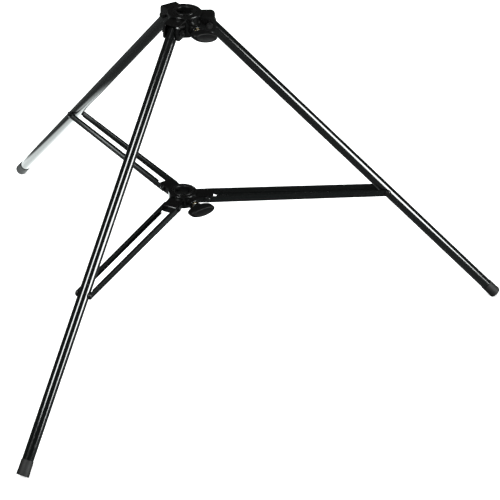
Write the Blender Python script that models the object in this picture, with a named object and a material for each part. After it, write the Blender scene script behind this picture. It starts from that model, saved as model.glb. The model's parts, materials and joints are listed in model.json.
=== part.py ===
"""Folding three-leg stand base for a 35 mm pole.

Three tube legs hang from an upper hub and are braced by pairs of channel struts that run in to a lower
collar. The hub and the collar both slide on a pole (not part of this object) and each is clamped by a
winged screw. Metres, +Z up, the floor at Z = 0; the origin is the middle of the base's footprint box.
"""
import math

import bmesh
import bpy
from mathutils import Matrix, Vector

# ---- driving dimensions (metres, radians) ----
MM = 0.001
GAP = 0.3 * MM                      # air between pieces that touch
RUNNING = 0.35 * MM                 # air round a turning pin
TUBE_RADIUS = 12.7 * MM             # one-inch steel tube
TUBE_WALL = 1.5 * MM
LEG_LENGTH = 1007.7 * MM            # hub pivot to the tip of the foot
LEG_ANGLE = math.radians(43.78)     # from the vertical, legs spread
STRUT_STATION = 604.8 * MM          # hub pivot to strut pivot, along the leg
HUB_PIVOT_RADIUS = 54.0 * MM
COLLAR_PIVOT_RADIUS = 56.0 * MM
COLLAR_HEIGHT = 296.0 * MM          # the lower collar's pivots above the floor
POLE_BORE_RADIUS = 17.75 * MM       # a 35 mm pole slides through
LEG_AZIMUTHS = {"right": 0.0, "front": math.radians(-120.0), "rear": math.radians(120.0)}
KNOB_AZIMUTH = math.radians(-60.0)
SIDES = {"left": 1.0, "right": -1.0}

# ---- leg ----
TUBE_TOP = 10.0 * MM                # tube above the hub pivot
PLUG_DEPTH = 6.0 * MM
PLUG_HEAD = 2.4 * MM
PIN_RADIUS = 4.0 * MM               # 8 mm pivots
FOOT_RADIUS = 14.1 * MM
FOOT_LENGTH = 34.0 * MM
FOOT_SOLE = 7.0 * MM                # rubber below the end of the tube
FOOT_BAND = 10.0 * MM               # the thicker band round the sole
FOOT_STEP = 0.4 * MM
FOOT_FLAT = 1.5 * MM                # depth of the flat that meets the floor

# ---- strut ----
STRUT_HEIGHT = 16.0 * MM
STRUT_WEB = 1.8 * MM
STRUT_LEG_OUTSIDE = 16.8 * MM       # half the pair's outer width at the leg
STRUT_COLLAR_OUTSIDE = 19.3 * MM    # and at the collar
STRUT_LIP_TIP = 13.0 * MM           # the channel's lips end here, clear of the tube
STRUT_FLAT_OUTER = 8.0 * MM         # stretch without lips at the leg
STRUT_FLAT_INNER = 18.0 * MM        # and at the collar
LIP_RUNOUT = 6.0 * MM
WASHER_RADIUS = 7.5 * MM
RIVET_HEAD_RADIUS = 6.4 * MM
RIVET_HEAD_HEIGHT = 2.6 * MM

# ---- upper hub, heights above its pivots ----
HUB_RADIUS = 35.5 * MM
HUB_TOP = 27.0 * MM
HUB_BOTTOM = -22.0 * MM
HUB_FLANGE_RADIUS = 38.0 * MM       # rim over the arms
HUB_FLANGE_BOTTOM = 20.4 * MM
HUB_CLAMP_HEIGHT = -3.5 * MM
ARM_REACH = 68.5 * MM
ARM_HALF_WIDTH = 18.6 * MM
ARM_TOP = 21.0 * MM
ARM_BOTTOM = -17.0 * MM
ARM_CORNER = 10.0 * MM
SLOT_HALF_WIDTH = 13.2 * MM
SLOT_START = 35.9 * MM
SLOT_ROOF = 18.4 * MM               # underside of the bridge over a leg's top
LEG_BOLT_FLATS = 13.0 * MM          # M8 hexagon
LEG_BOLT_HEAD = 5.3 * MM
LEG_NUT_HEIGHT = 6.5 * MM
LEG_BOLT_THREAD = 8.0 * MM          # shank past the arm

# ---- lower collar, heights from its pivots ----
COLLAR_RADIUS = 32.5 * MM
COLLAR_HALF_HEIGHT = 15.0 * MM
LUG_REACH = 70.0 * MM
LUG_HALF_WIDTH = 16.8 * MM
LUG_HALF_HEIGHT = 9.5 * MM
LUG_CORNER = 4.0 * MM
ARM_ROOT = 20.0 * MM                # arms and lugs start here, inside the rings

# ---- pole liners and clamps, distances from the pole's axis ----
LINER_WALL = 2.0 * MM
LINER_FLANGE_RADIUS = 25.0 * MM
LINER_FLANGE = 2.0 * MM
BOSS_RADIUS = 11.8 * MM
BOSS_START = 15.0 * MM
BOSS_REACH = 50.0 * MM
INSERT_RADIUS = 7.5 * MM
INSERT_LENGTH = 14.0 * MM
SCREW_RADIUS = 5.0 * MM             # M10 clamp screw
SCREW_AIR = 0.6 * MM
PAD_RADIUS = 6.2 * MM
PAD_START = POLE_BORE_RADIUS + 0.4 * MM
PAD_LENGTH = 5.0 * MM
PAD_WAY_START = 5.0 * MM
PAD_WAY_END = 26.0 * MM
KNOB_BACK = 65.0 * MM
KNOB_FRONT = 87.0 * MM
KNOB_HALF_LENGTH = 32.5 * MM
KNOB_HALF_WIDTH = 12.0 * MM
KNOB_ROUNDING = 3.0 * MM
KNOB_NECK_RADIUS = 11.0 * MM
KNOB_NECK_LENGTH = 5.0 * MM
KNOB_SCREW_DEPTH = 14.0 * MM
KNOB_TURNS = {"upper": math.radians(-16.0), "lower": 0.0}

# ---- how finely round pieces are drawn ----
ROUND = 32
MIDDLE_ROUND = 24
SMALL_ROUND = 16


def clear_scene():
    """Remove whatever the scene holds."""
    for item in list(bpy.data.objects):
        bpy.data.objects.remove(item, do_unlink=True)


def make_material(name, colour, roughness, metallic=0.0):
    """Return a Principled material."""
    material = bpy.data.materials.new(name)
    material.use_nodes = True
    shader = material.node_tree.nodes["Principled BSDF"]
    shader.inputs["Base Color"].default_value = (*colour, 1.0)
    shader.inputs["Roughness"].default_value = roughness
    shader.inputs["Metallic"].default_value = metallic
    return material


def make_empty(name, parent=None, location=(0.0, 0.0, 0.0), rotation=(0.0, 0.0, 0.0)):
    """Return an empty that carries the pieces of one assembly."""
    empty = bpy.data.objects.new(name, None)
    bpy.context.scene.collection.objects.link(empty)
    empty.parent = parent
    empty.location = location
    empty.rotation_euler = rotation
    return empty


def make_object(name, bm, material, parent, smooth=True):
    """Turn a bmesh, drawn in its parent's frame, into a named object."""
    bmesh.ops.recalc_face_normals(bm, faces=bm.faces)
    mesh = bpy.data.meshes.new(name)
    bm.to_mesh(mesh)
    bm.free()
    if smooth:
        mesh.shade_smooth()
        mesh.set_sharp_from_angle(angle=math.radians(35.0))
    mesh.materials.append(material)
    item = bpy.data.objects.new(name, mesh)
    bpy.context.scene.collection.objects.link(item)
    item.parent = parent
    return item


def combine(target, bm, label, operation):
    """Join or cut a shape, drawn in the target's frame, with a Boolean modifier and its hidden cutter."""
    name = f"{target.name}_{label}"
    cutter = make_object(name, bm, bpy.data.materials["cutter"], target.parent, smooth=False)
    cutter.hide_render = True
    cutter.display_type = "WIRE"
    modifier = target.modifiers.new(label, "BOOLEAN")
    modifier.object = cutter
    modifier.operation = operation
    modifier.solver = "EXACT"


# ---- shapes ----
def turned(outline, sides=ROUND):
    """Spin a closed outline of (radius, z) points about Z; points on the axis close the shape."""
    bm = bmesh.new()
    verts = [bm.verts.new((radius, 0.0, z)) for radius, z in outline]
    edges = [bm.edges.new(pair) for pair in zip(verts, verts[1:] + verts[:1])]
    bmesh.ops.spin(bm, geom=verts + edges, axis=(0.0, 0.0, 1.0), cent=(0.0, 0.0, 0.0),
                   angle=2.0 * math.pi, steps=sides, use_merge=True)
    bmesh.ops.remove_doubles(bm, verts=bm.verts, dist=1e-6)
    loose = [edge for edge in bm.edges if not edge.link_faces]
    bmesh.ops.delete(bm, geom=loose, context="EDGES")
    return bm


def rod(radius, low, high, sides=SMALL_ROUND, edge=0.0):
    """A solid rod about Z from low to high, its end edges chamfered."""
    if not edge:
        return turned([(0.0, low), (radius, low), (radius, high), (0.0, high)], sides)
    return turned([(0.0, low), (radius - edge, low), (radius, low + edge), (radius, high - edge),
                   (radius - edge, high), (0.0, high)], sides)


def sleeve(inner, outer, low, high, sides=SMALL_ROUND):
    """A plain ring about Z."""
    return turned([(inner, low), (outer, low), (outer, high), (inner, high)], sides)


def moved(bm, offset):
    """Shift a shape."""
    bmesh.ops.translate(bm, verts=bm.verts, vec=Vector(offset))
    return bm


def rotated(bm, angle, axis):
    """Turn a shape about one of the axes X, Y, Z through the origin."""
    bmesh.ops.rotate(bm, verts=bm.verts, cent=(0.0, 0.0, 0.0), matrix=Matrix.Rotation(angle, 3, axis))
    return bm


def turn_to(bm, direction):
    """Turn a shape drawn about +Z so that its axis points along direction."""
    turn = Vector((0.0, 0.0, 1.0)).rotation_difference(Vector(direction)).to_matrix()
    bmesh.ops.rotate(bm, verts=bm.verts, cent=(0.0, 0.0, 0.0), matrix=turn)
    return bm


def extruded(outline, offset):
    """Extrude a closed outline of (x, y, z) points by an offset."""
    bm = bmesh.new()
    face = bm.faces.new([bm.verts.new(point) for point in outline])
    grown = bmesh.ops.extrude_face_region(bm, geom=[face])["geom"]
    raised = [item for item in grown if isinstance(item, bmesh.types.BMVert)]
    bmesh.ops.translate(bm, verts=raised, vec=Vector(offset))
    return bm


def round_rims(bm, axis, offset, segments=1):
    """Bevel the edges of an extruded shape that lie square to an axis (0, 1 or 2)."""
    rims = [edge for edge in bm.edges if abs(edge.verts[0].co[axis] - edge.verts[1].co[axis]) < 1e-7]
    bmesh.ops.bevel(bm, geom=rims, offset=offset, segments=segments, profile=0.5, affect="EDGES", material=-1)
    return bm


def slab(outline, low, high):
    """Extrude an (x, z) outline along Y from low to high."""
    return extruded([(x, low, z) for x, z in outline], (0.0, high - low, 0.0))


def arc(centre, radius, start, end, steps):
    """Points round a centre in the X-Z plane from one angle to another."""
    angles = [start + (end - start) * k / steps for k in range(steps + 1)]
    return [(centre[0] + radius * math.cos(a), centre[1] + radius * math.sin(a)) for a in angles]


def arm_outline(reach, low, high, corner):
    """Side view of an arm whose two outer corners are rounded."""
    quarter = 0.5 * math.pi
    lower = arc((reach - corner, low + corner), corner, -quarter, 0.0, 4)
    upper = arc((reach - corner, high - corner), corner, 0.0, quarter, 4)
    return [(ARM_ROOT, low), *lower, *upper, (ARM_ROOT, high)]


def hexagon(across_flats, low, high):
    """A hexagon about Z with the corners of its far face turned off."""
    corner_radius = across_flats / math.sqrt(3.0)
    bm = bmesh.new()
    bmesh.ops.create_cone(bm, cap_ends=True, segments=6, radius1=corner_radius, radius2=corner_radius,
                          depth=high - low)
    moved(bm, (0.0, 0.0, 0.5 * (low + high)))
    top = [edge for edge in bm.edges if all(vert.co.z > high - 1e-7 for vert in edge.verts)]
    bmesh.ops.bevel(bm, geom=top, offset=0.08 * across_flats, segments=1, profile=0.5, affect="EDGES",
                    material=-1)
    return bm


def rivet_head(seat):
    """A low domed head about Z that sits on seat."""
    radius, top = RIVET_HEAD_RADIUS, seat + RIVET_HEAD_HEIGHT
    outline = [(0.0, seat), (radius, seat), (radius, seat + 0.4 * RIVET_HEAD_HEIGHT),
               (0.85 * radius, seat + 0.8 * RIVET_HEAD_HEIGHT), (0.55 * radius, top), (0.0, top)]
    return turned(outline, SMALL_ROUND)


# ---- castings ----
def along_clamp(bm, height):
    """Lay a shape drawn about +Z out along the clamp screw's line at a height."""
    turn_to(bm, (math.cos(KNOB_AZIMUTH), math.sin(KNOB_AZIMUTH), 0.0))
    return moved(bm, (0.0, 0.0, height))


def clamp_way():
    """The stepped hole of a clamp: the pad's way, the screw's and the insert's seat."""
    seat = BOSS_REACH - INSERT_LENGTH - GAP
    end = BOSS_REACH + 5.0 * MM
    screw = SCREW_RADIUS + SCREW_AIR
    return turned([(0.0, PAD_WAY_START), (PAD_RADIUS + GAP, PAD_WAY_START), (PAD_RADIUS + GAP, PAD_WAY_END),
                   (screw, PAD_WAY_END), (screw, seat), (INSERT_RADIUS + GAP, seat),
                   (INSERT_RADIUS + GAP, end), (0.0, end)], SMALL_ROUND)


def cast_body(name, parent, material, outline, clamp_height, arms, slots, pivot):
    """A ring with arms and a clamp boss, slotted, drilled and last bored for its liner.

    outline: half outline of the solid ring, from the axis round to the axis.
    arms, slots: shapes for each leg, drawn along +X. pivot: radius of the pivot holes and their place.
    """
    body = make_object(name, turned(outline), material, parent)
    boss = rod(BOSS_RADIUS, BOSS_START, BOSS_REACH, MIDDLE_ROUND, edge=1.0 * MM)
    combine(body, along_clamp(boss, clamp_height), "boss", "UNION")
    for label, azimuth in LEG_AZIMUTHS.items():
        combine(body, rotated(arms[label], azimuth, "Z"), "arm_" + label, "UNION")
    combine(body, along_clamp(clamp_way(), clamp_height), "clamp_way", "DIFFERENCE")
    for label, shape in slots.items():
        combine(body, rotated(shape, LEG_AZIMUTHS[label], "Z"), "slot_" + label, "DIFFERENCE")
    hole_radius, hole_place = pivot
    for label, azimuth in LEG_AZIMUTHS.items():
        hole = turn_to(rod(hole_radius, -30.0 * MM, 30.0 * MM), (0.0, 1.0, 0.0))
        hole = rotated(moved(hole, (hole_place, 0.0, 0.0)), azimuth, "Z")
        combine(body, hole, "pivot_" + label, "DIFFERENCE")
    bore = rod(POLE_BORE_RADIUS + LINER_WALL + GAP, outline[0][1] - MM, outline[-1][1] + MM, ROUND)
    combine(body, bore, "bore", "DIFFERENCE")


def pole_liner(name, parent, material, low, high, clamp_height):
    """A flanged plastic sleeve in a casting's bore, with a window for the clamp pad."""
    outer = POLE_BORE_RADIUS + LINER_WALL
    top = high + LINER_FLANGE
    outline = [(POLE_BORE_RADIUS, low), (outer, low), (outer, high + GAP), (LINER_FLANGE_RADIUS, high + GAP),
               (LINER_FLANGE_RADIUS, top - 0.5 * MM), (LINER_FLANGE_RADIUS - 0.5 * MM, top),
               (POLE_BORE_RADIUS + MM, top), (POLE_BORE_RADIUS, top - MM)]
    liner = make_object(name, turned(outline), material, parent)
    window = rod(PAD_RADIUS + GAP, 0.5 * POLE_BORE_RADIUS, outer + 5.0 * MM)
    combine(liner, along_clamp(window, clamp_height), "window", "DIFFERENCE")


def wing_knob(turn):
    """The knob's oval wing about the clamp line +X, thick along the screw, rounded at both rims."""
    outline = [(KNOB_BACK, y, z) for y, z in arc((0.0, 0.0), 1.0, 0.0, 2.0 * math.pi, MIDDLE_ROUND)[:-1]]
    wing = extruded([(x, KNOB_HALF_LENGTH * y, KNOB_HALF_WIDTH * z) for x, y, z in outline],
                    (KNOB_FRONT - KNOB_BACK, 0.0, 0.0))
    return rotated(round_rims(wing, 0, KNOB_ROUNDING, segments=2), turn, "X")


def build_clamp(prefix, parent, height, materials):
    """The insert, pressure pad, screw and winged knob of one clamp, at a height in its casting's frame."""
    outward = (1.0, 0.0, 0.0)
    clamp = make_empty(prefix + "_clamp_line", parent, (0.0, 0.0, height), (0.0, 0.0, KNOB_AZIMUTH))
    insert = sleeve(SCREW_RADIUS + GAP, INSERT_RADIUS, BOSS_REACH - INSERT_LENGTH, BOSS_REACH)
    make_object(prefix + "_clamp_insert", turn_to(insert, outward), materials["brass"], clamp)
    pad_end = PAD_START + PAD_LENGTH
    pad = rod(PAD_RADIUS, PAD_START, pad_end, edge=0.5 * MM)
    make_object(prefix + "_clamp_pad", turn_to(pad, outward), materials["nylon"], clamp)
    screw = rod(SCREW_RADIUS, pad_end + GAP, KNOB_BACK + KNOB_SCREW_DEPTH, edge=0.8 * MM)
    make_object(prefix + "_clamp_screw", turn_to(screw, outward), materials["zinc"], clamp)
    knob = make_object(prefix + "_clamp_knob", wing_knob(KNOB_TURNS[prefix]), materials["knob"], clamp)
    neck = rod(KNOB_NECK_RADIUS, KNOB_BACK - KNOB_NECK_LENGTH, KNOB_BACK + KNOB_ROUNDING, MIDDLE_ROUND,
               edge=0.8 * MM)
    combine(knob, turn_to(neck, outward), "neck", "UNION")
    hole = rod(SCREW_RADIUS + GAP, KNOB_BACK - 2.0 * KNOB_NECK_LENGTH, KNOB_BACK + KNOB_SCREW_DEPTH + GAP)
    combine(knob, turn_to(hole, outward), "screw_hole", "DIFFERENCE")


# ---- the upper hub ----
def leg_pivot(name, pivot, material):
    """The hexagon bolt through a leg and its hub arm, and its nut, along local Y."""
    seat = ARM_HALF_WIDTH + GAP
    shank = rod(PIN_RADIUS, -seat - MM, seat + LEG_BOLT_THREAD, edge=0.4 * MM)
    bolt = make_object("leg_bolt_" + name, turn_to(shank, (0.0, 1.0, 0.0)), material, pivot)
    head = hexagon(LEG_BOLT_FLATS, seat, seat + LEG_BOLT_HEAD)
    combine(bolt, turn_to(head, (0.0, -1.0, 0.0)), "head", "UNION")
    body = hexagon(LEG_BOLT_FLATS, seat, seat + LEG_NUT_HEIGHT)
    nut = make_object("leg_nut_" + name, turn_to(body, (0.0, 1.0, 0.0)), material, pivot)
    hole = rod(PIN_RADIUS + GAP, seat - MM, seat + LEG_NUT_HEIGHT + MM)
    combine(nut, turn_to(hole, (0.0, 1.0, 0.0)), "hole", "DIFFERENCE")


def build_hub(hub, materials):
    """The upper casting with three slotted arms, its liner, its clamp and the leg pivots."""
    chamfer = 1.2 * MM
    outline = [(0.0, HUB_BOTTOM), (HUB_RADIUS - chamfer, HUB_BOTTOM), (HUB_RADIUS, HUB_BOTTOM + chamfer),
               (HUB_RADIUS, HUB_FLANGE_BOTTOM), (HUB_FLANGE_RADIUS, HUB_FLANGE_BOTTOM + MM),
               (HUB_FLANGE_RADIUS, HUB_TOP - chamfer), (HUB_FLANGE_RADIUS - chamfer, HUB_TOP), (0.0, HUB_TOP)]
    side_view = arm_outline(ARM_REACH, ARM_BOTTOM, ARM_TOP, ARM_CORNER)
    slot_view = [(SLOT_START, ARM_BOTTOM - 5.0 * MM), (ARM_REACH + 5.0 * MM, ARM_BOTTOM - 5.0 * MM),
                 (ARM_REACH + 5.0 * MM, SLOT_ROOF), (SLOT_START, SLOT_ROOF)]
    arms = {name: round_rims(slab(side_view, -ARM_HALF_WIDTH, ARM_HALF_WIDTH), 1, 0.8 * MM)
            for name in LEG_AZIMUTHS}
    slots = {name: slab(slot_view, -SLOT_HALF_WIDTH, SLOT_HALF_WIDTH) for name in LEG_AZIMUTHS}
    cast_body("upper_hub", hub, materials["casting"], outline, HUB_CLAMP_HEIGHT, arms, slots,
              (PIN_RADIUS + GAP, HUB_PIVOT_RADIUS))
    pole_liner("upper_pole_liner", hub, materials["liner"], HUB_BOTTOM, HUB_TOP, HUB_CLAMP_HEIGHT)
    build_clamp("upper", hub, HUB_CLAMP_HEIGHT, materials)
    for name, azimuth in LEG_AZIMUTHS.items():
        outward = Vector((math.cos(azimuth), math.sin(azimuth), 0.0))
        pivot = make_empty("hub_pivot_" + name, hub, HUB_PIVOT_RADIUS * outward, (0.0, 0.0, azimuth))
        leg_pivot(name, pivot, materials["bolt"])


# ---- the lower collar ----
def build_collar(collar, materials):
    """The lower casting with three lugs, its liner and its clamp."""
    chamfer = 1.2 * MM
    low, high = -COLLAR_HALF_HEIGHT, COLLAR_HALF_HEIGHT
    outline = [(0.0, low), (COLLAR_RADIUS - chamfer, low), (COLLAR_RADIUS, low + chamfer),
               (COLLAR_RADIUS, high - chamfer), (COLLAR_RADIUS - chamfer, high), (0.0, high)]
    side_view = arm_outline(LUG_REACH, -LUG_HALF_HEIGHT, LUG_HALF_HEIGHT, LUG_CORNER)
    lugs = {name: round_rims(slab(side_view, -LUG_HALF_WIDTH, LUG_HALF_WIDTH), 1, MM)
            for name in LEG_AZIMUTHS}
    cast_body("lower_collar", collar, materials["casting"], outline, 0.0, lugs, {},
              (PIN_RADIUS + RUNNING, COLLAR_PIVOT_RADIUS))
    pole_liner("lower_pole_liner", collar, materials["liner"], low, high, 0.0)
    build_clamp("lower", collar, 0.0, materials)


# ---- a leg, drawn with its hub pivot at the origin and its tube down local -Z ----
def build_leg(name, leg, hub_height, materials):
    """The tube with its top plug, rubber foot and strut pin."""
    crosswise = (0.0, 1.0, 0.0)
    tube_end = FOOT_SOLE - LEG_LENGTH
    inside = TUBE_RADIUS - TUBE_WALL
    tube = make_object("leg_tube_" + name, sleeve(inside, TUBE_RADIUS, tube_end, TUBE_TOP, ROUND),
                       materials["tube"], leg)
    for label, z in (("pivot", 0.0), ("strut", -STRUT_STATION)):
        hole = turn_to(rod(PIN_RADIUS + RUNNING, -2.0 * TUBE_RADIUS, 2.0 * TUBE_RADIUS), crosswise)
        combine(tube, moved(hole, (0.0, 0.0, z)), label + "_hole", "DIFFERENCE")
    plug_top = TUBE_TOP + PLUG_HEAD
    plug = turned([(0.0, TUBE_TOP - PLUG_DEPTH), (inside - GAP, TUBE_TOP - PLUG_DEPTH),
                   (inside - GAP, TUBE_TOP + GAP), (TUBE_RADIUS, TUBE_TOP + GAP),
                   (TUBE_RADIUS, plug_top - MM), (TUBE_RADIUS - 1.2 * MM, plug_top), (0.0, plug_top)])
    make_object("leg_plug_" + name, plug, materials["plug"], leg)
    pin = turn_to(rod(PIN_RADIUS, GAP - STRUT_LIP_TIP, STRUT_LIP_TIP - GAP), crosswise)
    make_object("strut_pin_" + name, moved(pin, (0.0, 0.0, -STRUT_STATION)), materials["bolt"], leg)
    make_object("leg_foot_" + name, rubber_foot(tube_end, hub_height), materials["rubber"], leg)


def rubber_foot(tube_end, hub_height):
    """A rubber cup on the tube's end, its sole cut flat where it meets the floor."""
    tip = -LEG_LENGTH
    top = tip + FOOT_LENGTH
    pocket = TUBE_RADIUS + GAP
    wall = FOOT_RADIUS - FOOT_STEP
    bm = turned([(0.0, tip), (FOOT_RADIUS - MM, tip), (FOOT_RADIUS, tip + MM), (FOOT_RADIUS, tip + FOOT_BAND),
                 (wall, tip + FOOT_BAND + 2.0 * MM), (wall, top - 0.5 * MM), (wall - FOOT_STEP, top),
                 (pocket, top), (pocket, tube_end - GAP), (0.0, tube_end - GAP)])
    up = Vector((math.sin(LEG_ANGLE), 0.0, math.cos(LEG_ANGLE)))
    cut = bmesh.ops.bisect_plane(bm, geom=bm.verts[:] + bm.edges[:] + bm.faces[:], dist=1e-7,
                                 plane_co=-hub_height * up, plane_no=up, clear_inner=True)
    rim = [item for item in cut["geom_cut"] if isinstance(item, bmesh.types.BMEdge)]
    bmesh.ops.contextual_create(bm, geom=rim)
    return bm


# ---- a pair of struts, drawn with the collar pivot at the origin and the bars along local +X ----
def placed_bar(bm, side, yaw):
    """Move a bar's shape out to its side of the leg's plane and turn it in towards the leg."""
    moved(rotated(bm, -yaw, "Z"), (0.0, STRUT_COLLAR_OUTSIDE, 0.0))
    bmesh.ops.scale(bm, verts=bm.verts, vec=(1.0, side, 1.0))
    return bm


def bar_lip(length, yaw, low, high):
    """One lip of a channel, rooted in the web and running out to nothing at both ends."""
    start, end = STRUT_FLAT_INNER, length - STRUT_FLAT_OUTER
    offset = STRUT_LIP_TIP - STRUT_COLLAR_OUTSIDE
    root = -0.7 * STRUT_WEB
    plan = [(start, root), (end, root), (end - LIP_RUNOUT, offset + end * math.tan(yaw)),
            (start + LIP_RUNOUT, offset + start * math.tan(yaw))]
    return extruded([(x, y, low) for x, y in plan], (0.0, 0.0, high - low))


def strut_bar(name, side, length, strut, material):
    """One pressed channel: a web with rounded, lipless ends and two lips towards the leg."""
    yaw = math.atan2(STRUT_COLLAR_OUTSIDE - STRUT_LEG_OUTSIDE, length)
    half = 0.5 * STRUT_HEIGHT
    quarter = 0.5 * math.pi
    outline = arc((length, 0.0), half, -quarter, quarter, 8)
    outline += arc((0.0, 0.0), half, quarter, 3.0 * quarter, 8)
    web = round_rims(slab(outline, -STRUT_WEB, 0.0), 1, 0.4 * MM)
    bar = make_object(name, placed_bar(web, side, yaw), material, strut)
    edge = half - 0.05 * MM
    inner = half - STRUT_WEB
    for label, low, high in (("top_lip", inner, edge), ("bottom_lip", -edge, -inner)):
        combine(bar, placed_bar(bar_lip(length, yaw, low, high), side, yaw), label, "UNION")
    for label, x in (("inner_hole", 0.0), ("outer_hole", length)):
        hole = turn_to(rod(PIN_RADIUS + GAP, -30.0 * MM, 30.0 * MM), (0.0, 1.0, 0.0))
        combine(bar, moved(hole, (x, 0.0, 0.0)), label, "DIFFERENCE")


def rivet(name, strut, material, station, ends, seat, sides):
    """A rivet along local Y at a station of the strut, its shank between two ends, headed on its sides."""
    shank = turn_to(rod(PIN_RADIUS, *ends), (0.0, 1.0, 0.0))
    piece = make_object(name, moved(shank, (station, 0.0, 0.0)), material, strut)
    for label in sides:
        head = turn_to(rivet_head(seat), (0.0, SIDES[label], 0.0))
        combine(piece, moved(head, (station, 0.0, 0.0)), "head_" + label, "UNION")


def build_struts(name, strut, length, materials):
    """Two bars, the rivet through the collar's lug, and the two ends of the rivet at the leg."""
    collar_seat = STRUT_COLLAR_OUTSIDE + GAP
    rivet("collar_rivet_" + name, strut, materials["bolt"], 0.0, (-collar_seat - MM, collar_seat + MM),
          collar_seat, tuple(SIDES))
    leg_seat = STRUT_LEG_OUTSIDE + GAP
    for label, side in SIDES.items():
        strut_bar(f"strut_{name}_{label}", side, length, strut, materials["strut"])
        ends = sorted((side * STRUT_LIP_TIP, side * (leg_seat + MM)))
        rivet(f"strut_rivet_{name}_{label}", strut, materials["bolt"], length, ends, leg_seat, (label,))
        washer = sleeve(PIN_RADIUS + GAP, WASHER_RADIUS, STRUT_LIP_TIP, STRUT_LEG_OUTSIDE - STRUT_WEB - GAP)
        washer = moved(turn_to(washer, (0.0, side, 0.0)), (length, 0.0, 0.0))
        make_object(f"strut_washer_{name}_{label}", washer, materials["nylon"], strut)


def centre_on_floor(stand):
    """Move the stand so that the middle of its footprint box is at the origin."""
    bpy.context.view_layer.update()
    reach = [(item.matrix_world @ vert.co).x for item in bpy.data.objects
             if item.type == "MESH" and not item.hide_render for vert in item.data.vertices]
    stand.location.x -= 0.5 * (min(reach) + max(reach))
    bpy.context.view_layer.update()


def main():
    """Build the stand base with its legs spread."""
    clear_scene()
    make_material("cutter", (0.5, 0.5, 0.5), 0.5)
    materials = {
        "tube": make_material("black_gloss_tube", (0.012, 0.013, 0.013), 0.16),
        "strut": make_material("black_painted_strut", (0.014, 0.016, 0.015), 0.28),
        "casting": make_material("black_cast_plastic", (0.014, 0.014, 0.014), 0.42),
        "liner": make_material("pole_liner_plastic", (0.02, 0.02, 0.02), 0.35),
        "plug": make_material("tube_plug_plastic", (0.014, 0.014, 0.014), 0.45),
        "knob": make_material("black_knob_plastic", (0.012, 0.012, 0.012), 0.33),
        "rubber": make_material("foot_rubber", (0.016, 0.016, 0.016), 0.7),
        "bolt": make_material("blackened_steel_bolt", (0.06, 0.06, 0.06), 0.35, 0.8),
        "zinc": make_material("zinc_plated_screw", (0.55, 0.55, 0.53), 0.3, 1.0),
        "brass": make_material("brass_insert", (0.75, 0.56, 0.25), 0.3, 1.0),
        "nylon": make_material("black_nylon", (0.03, 0.03, 0.03), 0.5),
    }
    hub_height = LEG_LENGTH * math.cos(LEG_ANGLE) + FOOT_RADIUS * math.sin(LEG_ANGLE) - FOOT_FLAT
    reach = HUB_PIVOT_RADIUS + STRUT_STATION * math.sin(LEG_ANGLE) - COLLAR_PIVOT_RADIUS
    rise = hub_height - STRUT_STATION * math.cos(LEG_ANGLE) - COLLAR_HEIGHT
    stand = make_empty("stand")
    hub = make_empty("hub", stand, (0.0, 0.0, hub_height))
    collar = make_empty("collar", stand, (0.0, 0.0, COLLAR_HEIGHT))
    build_collar(collar, materials)
    build_hub(hub, materials)
    for name, azimuth in LEG_AZIMUTHS.items():
        outward = Vector((math.cos(azimuth), math.sin(azimuth), 0.0))
        leg = make_empty("leg_" + name, hub, HUB_PIVOT_RADIUS * outward, (0.0, -LEG_ANGLE, azimuth))
        build_leg(name, leg, hub_height, materials)
        strut = make_empty("struts_" + name, collar, COLLAR_PIVOT_RADIUS * outward,
                           (0.0, -math.atan2(rise, reach), azimuth))
        build_struts(name, strut, math.hypot(reach, rise), materials)
    centre_on_floor(stand)


main()
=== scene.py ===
"""Studio scene of a folding three-leg stand base for a 35 mm pole.

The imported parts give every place: pivots, axes and boxes come from the frame. Each sub-assembly is a
class that models its pieces finely in its own frame of reference, moves them into place and dresses them.
Lengths are in metres.
"""
import json
import logging
import math
from dataclasses import dataclass, field
from enum import Enum
from typing import Callable, Iterable, Sequence

import bmesh
import bpy
from mathutils import Matrix, Vector


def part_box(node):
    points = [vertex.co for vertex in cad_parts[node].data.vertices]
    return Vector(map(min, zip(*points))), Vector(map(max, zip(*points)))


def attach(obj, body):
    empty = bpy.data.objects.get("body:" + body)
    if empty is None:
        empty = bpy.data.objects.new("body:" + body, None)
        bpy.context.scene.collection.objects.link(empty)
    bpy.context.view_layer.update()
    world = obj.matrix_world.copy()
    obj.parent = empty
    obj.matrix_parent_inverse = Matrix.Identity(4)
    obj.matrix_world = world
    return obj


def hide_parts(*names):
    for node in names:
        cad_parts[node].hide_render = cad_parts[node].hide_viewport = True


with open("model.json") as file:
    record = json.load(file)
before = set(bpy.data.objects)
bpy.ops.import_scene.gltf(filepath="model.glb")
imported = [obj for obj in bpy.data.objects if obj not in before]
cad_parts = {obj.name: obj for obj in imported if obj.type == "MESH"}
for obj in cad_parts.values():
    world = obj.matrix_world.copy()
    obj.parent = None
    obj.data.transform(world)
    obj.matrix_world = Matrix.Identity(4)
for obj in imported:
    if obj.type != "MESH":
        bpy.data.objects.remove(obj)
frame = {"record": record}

LOG = logging.getLogger("stand_base")
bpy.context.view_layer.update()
MM = 0.001
MERGE = 1e-7                            # vertices closer than this are one
NEAR = 1e-6                             # tolerance when an edge is looked for
COARSE, MEDIUM, FINE = 48, 64, 96       # sides of a round
THROUGH = 30.0 * MM                     # half the length of a shape that cuts right through
RIM_ANGLE = math.radians(40.0)
SOFTENED_ANGLE = math.radians(38.0)
SHARP_ANGLE = math.radians(32.0)
SIDES = {"left": 1.0, "right": -1.0}
LEGS = ("right", "front", "rear")
ORIGIN = (0.0, 0.0, 0.0)
COLOUR_LOW, COLOUR_HIGH, COLOUR_OUT = 6, 7, 2  # a colour mix's sockets


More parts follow.
